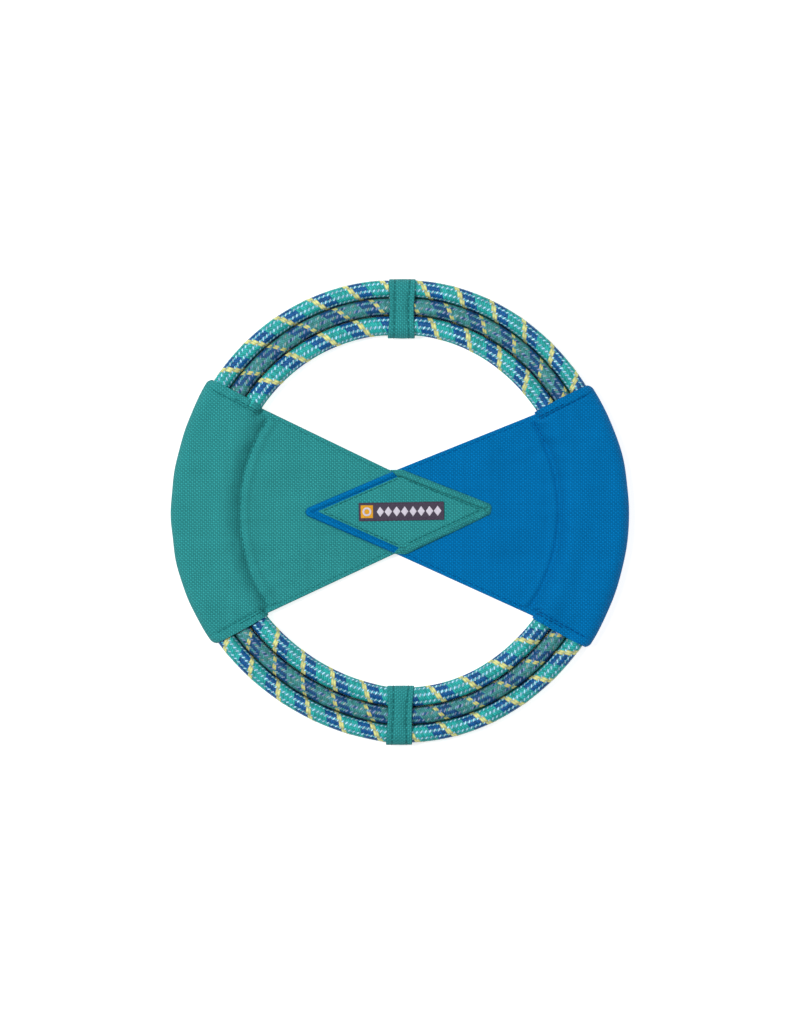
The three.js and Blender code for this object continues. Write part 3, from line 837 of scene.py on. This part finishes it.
def tube(path, radius, sides=6):
    """Points, faces and UVs of a closed tube along a path, its ends drawn in to blunt points."""
    heading = np.gradient(path, axis=0)
    heading /= np.linalg.norm(heading, axis=1, keepdims=True)
    side = np.cross(heading, (0, 0, 1.0))
    side /= np.linalg.norm(side, axis=1, keepdims=True)
    up = np.cross(side, heading)
    turn = np.linspace(0, TAU, sides, endpoint=False)
    thin = np.full(len(path), radius)
    thin[[0, -1]] *= BLUNT
    spokes = np.cos(turn)[:, None] * side[:, None] + np.sin(turn)[:, None] * up[:, None]
    rings = path[:, None] + thin[:, None, None] * spokes
    ends = [range(sides)[::-1], range((len(path) - 1) * sides, len(path) * sides)]
    faces = [*grid_quads(len(path), sides, closed_columns=True), *ends]
    uv = np.stack(np.broadcast_arrays(turn * radius, travelled(path)[:, None]), axis=-1)
    return rings.reshape(-1, 3), faces, uv.reshape(-1, 2)


def stitches(paths, pitch):
    """One after another along each path: every stitch rises out of the cloth, lies on it and dives in."""
    parts = []
    for path in paths:
        reach = travelled(path)
        total = max(1, round(reach[-1] / pitch))
        for number in range(total):
            place = (number + STITCH_POINTS) / total * reach[-1]
            parts.append(tube(np.stack([np.interp(place, reach, axis) for axis in path.T], axis=1), THREAD))
    return joined(parts)


def lay(path, height, lift):
    """The plane path laid lift above a face, or so low on the underside that it just touches the floor."""
    x, y = path.T
    return np.stack([x, y, np.maximum(height(x, y) + lift, THREAD)], axis=1)


def wing_rows(wing):
    """The wing's rows of stitching by name, as plane paths."""
    ends = [bearing(wing.ends[side][1]) - side * SEAM_TRIM for side in (-1, 1)]
    angles = np.linspace(*ends, 120)
    rows = {"channel_seam": [polar(SEAM_R - OVAL * np.cos(2 * angles), angles)]}
    for side, (waist, corner, rim) in wing.ends.items():
        label = "upper" if side * math.cos(wing.turn) > 0 else "lower"
        rows[label + "_edge_stitching"] = [inset_line(waist, corner, side * EDGE_STITCH, 4 * MM, 6 * MM)]
        rows[label + "_hem_stitching"] = [
            inset_line(corner, rim, side * HEM, 1.5 * MM, 4 * MM),
            inset_line(corner, rim, side * (HEM - SECOND_ROW), 1.0 * MM, 16 * MM)]
    return rows


def sew_wing(wing, thread, slot):
    for label, paths in wing_rows(wing).items():
        lift = THREAD_LIFTS[label.split("_")[-2]]
        laid = [lay(path, *face) for path in paths for face in ((wing.upper, lift), (wing.lower, -lift))]
        mesh = stitches([turned(row, wing.turn) for row in laid], STITCH_PITCH)
        node = f"{wing.name}_{label}"
        settle(mesh_object(f"{node}_thread", thread, *mesh), slot, node)


sew_wing(left, teal_thread, "teal_thread")
sew_wing(right, blue_thread, "blue_thread")

# -------- keeper bands

BAND_CLOTH = 0.9 * MM  # two layers of cloth
BAND_STITCH = 3.0 * MM  # from the edge
BAND_STEPS, BAND_COLUMNS, BAND_BEND = 220, 41, 9  # points round the loop, across a face, and round an edge
# Shares of its width that a band loses in the middle of each face, keeps at the turns after all, and gains
# or loses unevenly.
NARROWED, KEPT, UNEVEN = 0.105, 0.095, 0.012
BAND_CROWN = 0.30 * MM
BAND_FOLD = 0.05 * MM  # how far the folded edges stand out
BAND_DIP, BAND_SAG = 0.40 * MM, 0.25 * MM  # between one cord and the next, and over the middle one
BAND_SUNK = 0.12 * MM  # the outer face, all over
BAND_PINCH, BAND_TICK, BAND_PINCH_WIDTH = 0.62 * MM, 0.15 * MM, 0.95 * MM  # along its stitching
BAND_SOFT, BAND_SOFT_LENGTH = 0.10 * MM, 7 * MM  # dents
DRAWN_FLAT = 0.10  # share of the relief that is left round the two turns
INSIDE_CALM = 0.65  # share of the relief that the inner face lacks


class Band:
    """A strip of cloth folded to two layers, wrapped round the three cords and sewn along both edges.
    near and far are the centre's x, at the inner and the outer cord."""

    def __init__(self, node, near, far, seed):
        self.node, self.seed = node, seed
        low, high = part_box(node)
        self.near, self.far = near * MM, far * MM
        self.side = 1 if high[1] > 0 else -1
        self.width = high[0] - low[0]
        self.inner, self.outer = sorted((abs(low[1]), abs(high[1])))
        self.round = (high[2] - low[2]) / 2
        self.straight = self.outer - self.inner - 2 * self.round
        self.length = 2 * self.straight + TAU * self.round

    def place(self, across, along, lift):
        """A point of the band: across its width, along the loop from the middle of the top, and outwards
        of its outer face."""
        straight, bend = self.straight, math.pi * self.round
        gone = np.mod(along + straight / 2, self.length)  # since the start of the top
        turn = sum(np.clip(gone - start, 0, bend) for start in (straight, 2 * straight + bend)) / self.round
        centre = np.minimum(gone, straight) - straight / 2 - np.clip(gone - straight - bend, 0, straight)
        reach = self.round + lift
        radial = (self.inner + self.outer) / 2 + centre + reach * np.sin(turn)
        x = across + self.near + (self.far - self.near) * (radial - self.inner) / (self.outer - self.inner)
        return np.stack([x, self.side * radial, PLANE + reach * np.cos(turn)], axis=-1)

    def pinch(self, along):
        """How much narrower the band is drawn, as a share of its width: most between its ends."""
        uneven = UNEVEN * np.sin(TAU * along / self.length * 3 + self.seed)
        return NARROWED - KEPT * (1 - beat(along, self.length / 2)) + uneven

    def lift(self, across, along):
        """Relief of the outer face: folded edges, stitching drawn in, a soft crown between."""
        edge = self.width / 2 - np.abs(across)
        drawn_in = BAND_PINCH + BAND_TICK * beat(along, STITCH_PITCH)
        sewn = drawn_in * bump(edge, BAND_STITCH, BAND_PINCH_WIDTH)
        crown = BAND_CROWN * np.cos(np.clip(across / (self.width / 2 - BAND_STITCH), -1, 1) * math.pi / 2)
        fold = BAND_FOLD * bump(edge, 1.3 * MM, 1.2 * MM)
        soft = BAND_SOFT * waves(across, along, BAND_SOFT_LENGTH, self.seed)
        # The cloth sinks slightly between one cord and the next.
        half = self.straight / 2
        place = np.mod(along + half, self.length) - half
        sag = BAND_DIP * (1 - beat(place + half, half)) + BAND_SAG * bump(place, 0, 0.4 * half)
        # Round the two turns it is drawn tight, so that the relief all but goes.
        lap = np.mod(along + half, self.length / 2)
        from_turn = np.maximum(half - np.abs(lap - half), lap - self.length / 2)
        flat = DRAWN_FLAT + (1 - DRAWN_FLAT) * smoothstep(-2 * MM, 3.5 * MM, from_turn)
        relief = (crown + fold - sewn) * flat + soft * (0.4 + 0.6 * flat)
        return relief - np.where(np.abs(place) < half, sag, 0) - BAND_SUNK

    def build(self):
        half, bend = self.width / 2 - BAND_CLOTH / 2, BAND_CLOTH / 2
        flat = np.linspace(-half, half, BAND_COLUMNS)
        turn = np.linspace(0, math.pi, BAND_BEND)[1:-1]
        edge = half + bend * np.sin(turn)
        across = np.concatenate([flat, edge, flat[::-1], -edge])
        depth = np.concatenate([0 * flat, bend * (1 - np.cos(turn)), BAND_CLOTH + 0 * flat,
                                bend * (1 + np.cos(turn))])
        across, along = np.meshgrid(across, np.linspace(0, self.length, BAND_STEPS + 1))
        relief = self.lift(across, along) * (1 - INSIDE_CALM * depth / BAND_CLOTH)
        points = self.place(across * (1 - self.pinch(along)), along, relief - depth)[:-1].reshape(-1, 3)
        points[:, 2] = np.maximum(points[:, 2], 0)  # pressed flat where it lies on the floor
        # The last row of quads closes the loop: its points are the first ones, and its UVs run on.
        quads = grid_quads(*across.shape, closed_columns=True)[:, ::self.side]
        uv = np.stack([across, along], axis=-1).reshape(-1, 2)[quads].reshape(-1, 2)
        cloth = mesh_object(self.node + "_cloth", teal_cloth, points, quads % len(points), uv)
        settle(cloth, "teal_fabric", self.node)

    def sew(self):
        for side, label in ((-1, "left"), (1, "right")):
            across = side * (self.width / 2 - BAND_STITCH)
            along = np.linspace(0, self.length, 400)
            lift = self.lift(across + 0 * along, along) + 0.05 * MM
            row = self.place(across * (1 - self.pinch(along)), along, lift)
            row[:, 2] = np.maximum(row[:, 2], THREAD)
            node = self.node.replace("_keeper", "") + f"_{label}_stitching"
            mesh = stitches([row], STITCH_PITCH)
            settle(mesh_object(node + "_thread", teal_thread, *mesh), "teal_thread", node)


bands = [Band("top_keeper_band", 0.6, 1.2, 21), Band("bottom_keeper_band", 0.4, -0.5, 22)]
for band in bands:
    band.build()
for band in bands:
    band.sew()

# -------- centre patch and label


class Outline:
    """A convex outline with rounded corners, anticlockwise, and the rings inside it. Sizes are in mm."""

    def __init__(self, corners, radii, per_side, per_corner=9):
        self.corners, self.radii = np.array(corners) * MM, np.array(radii) * MM
        self.per_side, self.per_corner = per_side, per_corner
        self.headings = np.roll(self.corners, -1, axis=0) - self.corners
        self.headings /= np.linalg.norm(self.headings, axis=1, keepdims=True)
        self.inwards = np.stack([-self.headings[:, 1], self.headings[:, 0]], axis=1)

    def ring(self, inset):
        """Points of the outline moved inwards by inset, the same number whatever the inset."""
        arcs = []
        befores = np.roll(self.inwards, 1, axis=0)
        for corner, radius, before, after in zip(self.corners, self.radii, befores, self.inwards):
            centre = corner + (before + after) / (1 + before @ after) * max(radius, inset)
            start = bearing(-before)
            angle = start + (bearing(-after) - start) % TAU * np.linspace(0, 1, self.per_corner)
            arcs.append(centre + polar(max(radius - inset, 0), angle))
        ring = []
        for arc, following in zip(arcs, arcs[1:] + arcs[:1]):
            ring += [arc, between(arc[-1], following[0], self.per_side + 2)[1:-1]]
        return np.concatenate(ring)

    def rows(self, insets, inner_rows):
        """Rings at the insets, then ever smaller ones, and the centre."""
        rings = [self.ring(inset) for inset in insets]
        centre = self.corners.mean(axis=0)
        shrink = np.linspace(1, 0, inner_rows + 1)[1:-1]
        rings += [centre + (rings[-1] - centre) * t for t in shrink]
        return np.array(rings), centre

    def inset(self, x, y):
        """Distance inside the nearest side."""
        gaps = [(x - corner[0]) * inwards[0] + (y - corner[1]) * inwards[1]
                for corner, inwards in zip(self.corners, self.inwards)]
        return np.min(gaps, axis=0)


def fan(first, columns, tip):
    """Triangles from a closed ring of points to one point."""
    return [(first + c, first + (c + 1) % columns, tip) for c in range(columns)]


def padded_sheet(outline, insets, inner_rows, upper, lower):
    """Points and faces of a flat piece with an upper and a lower face, joined along the outline."""
    rings, centre = outline.rows(insets, inner_rows)
    rows, columns = rings.shape[:2]
    x, y = rings[..., 0], rings[..., 1]
    top, bottom = upper(x, y), lower(x, y)
    top[0] = (top[0] + bottom[0]) / 2
    tips = [[*centre, float(height(*centre[:, None])[0])] for height in (upper, lower)]
    over, under = (np.dstack([rings, height]) for height in (top, bottom))
    points = np.concatenate([over.reshape(-1, 3), under[1:].reshape(-1, 3), tips])
    quads = grid_quads(rows, columns, closed_columns=True)
    below = np.where(quads < columns, quads, quads + (rows - 1) * columns)
    last = len(points) - 1
    fans = fan((rows - 1) * columns, columns, last - 1)
    fans += [triangle[::-1] for triangle in fan((2 * rows - 2) * columns, columns, last)]
    return points, [*quads, *below[:, ::-1], *fans]


PATCH_CLOTH = 0.6 * MM
PATCH_STITCH = STITCH_PITCH * 0.9
PATCH_PINCH, PATCH_TICK, PATCH_PINCH_WIDTH = 0.26 * MM, 0.14 * MM, 0.7 * MM  # along its stitching
PATCH_SOFT, PATCH_SOFT_LENGTH = 0.08 * MM, 15 * MM  # dents
PATCH_STITCH_RIGHT = 1.5 * MM  # from its edge to its stitching, along the rolled hem and on the left
PATCH_STITCH_LEFT = 1.0 * MM
ROLL = 3.7 * MM  # width of the rolled hem along the patch's right-hand sides
ROLL_HEIGHT = 2.15 * MM
ROLL_SINK = 0.45 * MM  # how deep it lies in the cloth
CREASE, CREASE_AT = 0.14, 0.42  # depth as a share of the height, and place as a share of the width
body_outline = Outline([(-41.2, 0.3), (1.2, -18.6), (44.0, 1.2), (0.9, 18.5)], (0.4, 0.5, 1.0, 0.5), 70)
# The roll follows the right-hand sides and its ends lap over the left-hand ones.
roll_outline = Outline([(-4.9, 21.1), (-3.6, -20.9), (3.2, -21.2), (45.4, -1.2), (46.0, 3.7), (1.2, 21.2)],
                       (0.3, 0.3, 4, 2.0, 2.4, 4), 60)


def patch_upper(x, y):
    inset = body_outline.inset(x, y)
    groove = bump(inset, np.where(x > 0, 1.4 * MM, 1.0 * MM), PATCH_PINCH_WIDTH)
    sewn = (PATCH_PINCH + PATCH_TICK * beat(x, PATCH_STITCH)) * groove
    soft = PATCH_SOFT * waves(x, y, PATCH_SOFT_LENGTH, 32)
    return patch_low[2] + PATCH_CLOTH / 2 * (1 + arch(inset / (0.3 * MM))) - sewn + soft


def patch_lower(x, y):
    return patch_low[2] - 0.05 * MM + PATCH_CLOTH / 2 * (1 - arch(body_outline.inset(x, y) / (0.3 * MM)))


def rolled_hem():
    """The roll: a strip, puffed, creased along its length and drawn in by its stitching, whose upper and
    lower faces meet all round its edge."""
    share = ((1 - np.cos(np.linspace(0, math.pi, 19))) / 2)[:, None]
    rings = np.array([roll_outline.ring(inset) for inset in share[:, 0] * ROLL])
    # Leave out the outline's first side, which joins the strip's two ends.
    first = roll_outline.per_corner + roll_outline.per_side
    strip = np.concatenate([rings[:, first:], rings[:, :1]], axis=1)
    along = travelled(strip[0])
    closing = arch(np.minimum(along, along[-1] - along) / (0.8 * MM))
    along, inset = np.broadcast_arrays(along, share * ROLL)
    puff = (1 - np.abs(2 * share - 1) ** 2.2) ** 0.75 * (0.6 + 0.55 * share)
    puff = puff * (1 - CREASE * bump(share, CREASE_AT, 0.10))
    twist = 1 + 0.18 * waves(along, inset * 2.0, 8 * MM, 31)
    base = patch_low[2] + 0.15 * MM
    top = base + ROLL_HEIGHT * puff * twist * closing
    bottom = base - ROLL_SINK * (1 - np.abs(2 * share - 1) ** 4) * closing
    points = np.concatenate([np.dstack([strip, face]).reshape(-1, 3) for face in (top, bottom)])
    quads = grid_quads(*inset.shape)
    uv = np.stack([along, inset], axis=-1).reshape(-1, 2)
    piece = mesh_object("centre_patch_hem", teal_cloth, points, [*quads, *(quads[:, ::-1] + inset.size)],
                        np.concatenate([uv, uv]))
    weld(piece)
    return settle(piece, "teal_fabric", "centre_patch")


def patch_rows():
    """The patch's stitching: along the inner side of the roll, and close to the edge on the left."""
    left_corner, bottom, right_corner, top = body_outline.corners
    return [
        inset_line(bottom, right_corner, -PATCH_STITCH_RIGHT, 4 * MM, 4 * MM),
        inset_line(right_corner, top, -PATCH_STITCH_RIGHT, 4 * MM, 4 * MM),
        inset_line(top, left_corner, -PATCH_STITCH_LEFT, 2.5 * MM, 3 * MM),
        inset_line(left_corner, bottom, -PATCH_STITCH_LEFT, 3 * MM, 2.5 * MM),
    ]


fine = np.concatenate([[0, 0.03, 0.1, 0.2, 0.3], np.arange(0.5, 5.2, 0.25)]) * MM
points, faces = padded_sheet(body_outline, fine, 26, patch_upper, patch_lower)
patch_cloth = mesh_object("centre_patch_cloth", teal_cloth, points, faces, points[:, :2])
settle(patch_cloth, "teal_fabric", "centre_patch")
patch_hem = rolled_hem()
patch_sewing = stitches([lay(row, patch_upper, 0.04 * MM) for row in patch_rows()], PATCH_STITCH)
patch_thread = mesh_object("centre_patch_thread", teal_thread, *patch_sewing)
settle(patch_thread, "teal_thread", "centre_patch_stitching")

LABEL_COLOURS = {"ground": (0.060, 0.045, 0.075), "orange": (0.72, 0.34, 0.015), "white": (0.66, 0.62, 0.72)}
LABEL_TURN = math.radians(1.0)
LABEL_LENGTH, LABEL_WIDTH, LABEL_THICK = 42.6, 9.2, 0.45  # mm
LABEL_STITCH = 0.9 * MM  # from the label's edge
SATIN = 0.17 * MM  # height of the embroidery
BADGE_X, BADGE_Y, BADGE_WIDTH, BADGE_HEIGHT = 4.1 - LABEL_LENGTH / 2, 0.1, 6.3, 6.6  # mm
RING_RADIUS, RING_HALF, RING_RISE = 1.75, 0.5, 0.10  # mm: the small ring's size, half width and rise
LOZENGES, LOZENGE_FIRST, LOZENGE_STEP = 8, 10.7 - LABEL_LENGTH / 2, 4.1  # number; places in mm


def label_frame(points):
    """From the label's own axes to its place on the patch."""
    points = turned(points, LABEL_TURN)
    points[..., :2] += (np.array(label_low) + np.array(label_high))[:2] / 2
    return points


def raised(outline, base, insets=(0, 0.05, 0.15, 0.3)):
    """A low cushion of satin stitching on the label."""
    rings, centre = outline.rows([inset * MM for inset in insets], 4)
    rows, columns = rings.shape[:2]
    rise = np.sqrt([*insets, *[insets[-1]] * (rows - len(insets))]) / math.sqrt(insets[-1])
    z = np.broadcast_to(base + SATIN * rise[:, None], (rows, columns))
    points = np.concatenate([np.dstack([rings, z]).reshape(-1, 3), [[*centre, base + SATIN]]])
    quads = grid_quads(rows, columns, closed_columns=True)
    top = fan((rows - 1) * columns, columns, len(points) - 1)
    return points, [*quads, *top, range(columns)[::-1]]


def rectangle(x, y, width, height, radius):
    corners = [(x + i * width / 2, y + j * height / 2) for i, j in ((-1, -1), (1, -1), (1, 1), (-1, 1))]
    return Outline(corners, [radius] * 4, 12, 5)


def lozenge(x, y, width, height):
    corners = [(x + i * width / 2, y + j * height / 2) for i, j in ((-1, 0), (0, -1), (1, 0), (0, 1))]
    return Outline(corners, [0.25] * 4, 4, 4)


def small_ring(top, steps=28, sides=8):
    """The ring on the badge."""
    turn, section = np.meshgrid(np.linspace(0, TAU, steps + 1), np.linspace(0, TAU, sides, endpoint=False),
                                indexing="ij")
    xy = (polar(RING_RADIUS + RING_HALF * np.cos(section), turn) + (BADGE_X, BADGE_Y)) * MM
    z = top + SATIN + RING_RISE * MM * np.sin(section)
    points = np.dstack([xy, z])[:-1].reshape(-1, 3)
    return points, grid_quads(steps + 1, sides, closed_columns=True)[:, ::-1] % len(points)


def woven_label():
    """The ribbon, with an orange square holding a small ring, and a row of lozenges: plain ornament."""
    base = label_low[2]
    body = rectangle(0, 0, LABEL_LENGTH, LABEL_WIDTH, 0.35)

    def upper(x, y):
        inset = body.inset(x, y)
        stitched = 0.14 * MM * bump(inset, LABEL_STITCH, 0.3 * MM)
        edge = 0.2 * MM * (1 - arch(inset / (0.25 * MM)))
        return base + LABEL_THICK * MM - edge - stitched + 0.03 * MM * waves(x, y, 9 * MM, 41)

    def lower(x, y):
        return base - 0.2 * MM * np.clip(body.inset(x, y) / (0.25 * MM), 0, 1)

    top = base + (LABEL_THICK - 0.10) * MM
    insets = np.array([0, 0.08, 0.2, 0.35, 0.5, 0.7, 0.9, 1.1, 1.4, 2.0]) * MM
    shapes = [
        (padded_sheet(body, insets, 8, upper, lower), "ground"),
        (raised(rectangle(BADGE_X, BADGE_Y, BADGE_WIDTH, BADGE_HEIGHT, 0.3), top), "orange"),
        (small_ring(top), "white"),
    ]
    for number in range(LOZENGES):
        shapes.append((raised(lozenge(LOZENGE_FIRST + LOZENGE_STEP * number, 0.0, 4.0, 5.4), top), "white"))
    parts = [(points, faces, points[:, :2], np.tile(LABEL_COLOURS[colour], (len(faces), 1)))
             for (points, faces), colour in shapes]
    points, faces, uv, colours = joined(parts)
    ribbon = embroidered("label_ribbon")
    piece = mesh_object("woven_label_ribbon", ribbon, label_frame(points), faces, uv, colours)
    settle(piece, "label_ribbon", "woven_label")

    sides = zip(body.corners, np.roll(body.corners, -1, axis=0))
    rows = [inset_line(start, end, -LABEL_STITCH, LABEL_STITCH, LABEL_STITCH) for start, end in sides]
    mesh = stitches([label_frame(lay(row, upper, 0.03 * MM)) for row in rows], 1.9 * MM)
    label_thread = sewing_thread("label_thread", (0.10, 0.07, 0.12))
    settle(mesh_object("label_stitching_thread", label_thread, *mesh), "label_thread", "label_stitching")
    return piece


label_piece = woven_label()

# -------- floor, light and camera

FRAME_HEIGHT = 0.512  # what the camera sees from top to bottom, at the ring
LENS = 100.0
SENSOR = 36.0
FLOOR_HALF = 3
FLOOR_GLOW = 0.75
WORLD_LIGHT = 0.20
LAMP_REACH = 1.6
LAMPS = (("key", 165, 60, 0.5, 19.8), ("fill", 30, 60, 0.9, 8.0))  # name, azimuth, elevation, size, power


def studio():
    paper = Nodes("floor_paper").finish((0.5, 0.5, 0.5, 1), Roughness=1.0, Specular_IOR_Level=0.0,
                                        Emission_Color=(1, 1, 1, 1), Emission_Strength=FLOOR_GLOW)
    corners = [(x * FLOOR_HALF, y * FLOOR_HALF, 0) for x, y in ((-1, -1), (1, -1), (1, 1), (-1, 1))]
    floor = mesh_object("floor", paper, corners, [[0, 1, 2, 3]], smooth=False)
    floor.location.z = -0.1 * MM

    world = bpy.data.worlds.new("studio")
    world.use_nodes = True
    world.node_tree.nodes["Background"].inputs["Color"].default_value = (1, 1, 1, 1)
    world.node_tree.nodes["Background"].inputs["Strength"].default_value = WORLD_LIGHT
    bpy.context.scene.world = world

    for name, azimuth, elevation, size, energy in LAMPS:
        lamp = bpy.data.objects.new(name, bpy.data.lights.new(name, "AREA"))
        lamp.data.shape = "DISK"
        lamp.data.size = size
        lamp.data.energy = energy
        above = math.radians(elevation)
        around = polar(LAMP_REACH * math.cos(above), math.radians(azimuth))
        lamp.location = (*around, LAMP_REACH * math.sin(above))
        lamp.rotation_euler = (-lamp.location).to_track_quat("-Z", "Y").to_euler()
        bpy.context.scene.collection.objects.link(lamp)

    camera = bpy.data.objects.new("camera", bpy.data.cameras.new("camera"))
    camera.data.lens = LENS
    camera.data.sensor_width = SENSOR
    camera.data.clip_end = 20
    camera.location = (0, 0, PLANE + FRAME_HEIGHT * LENS / SENSOR)
    bpy.context.scene.collection.objects.link(camera)
    bpy.context.scene.camera = camera
    bpy.context.scene.view_settings.view_transform = "Standard"


studio()
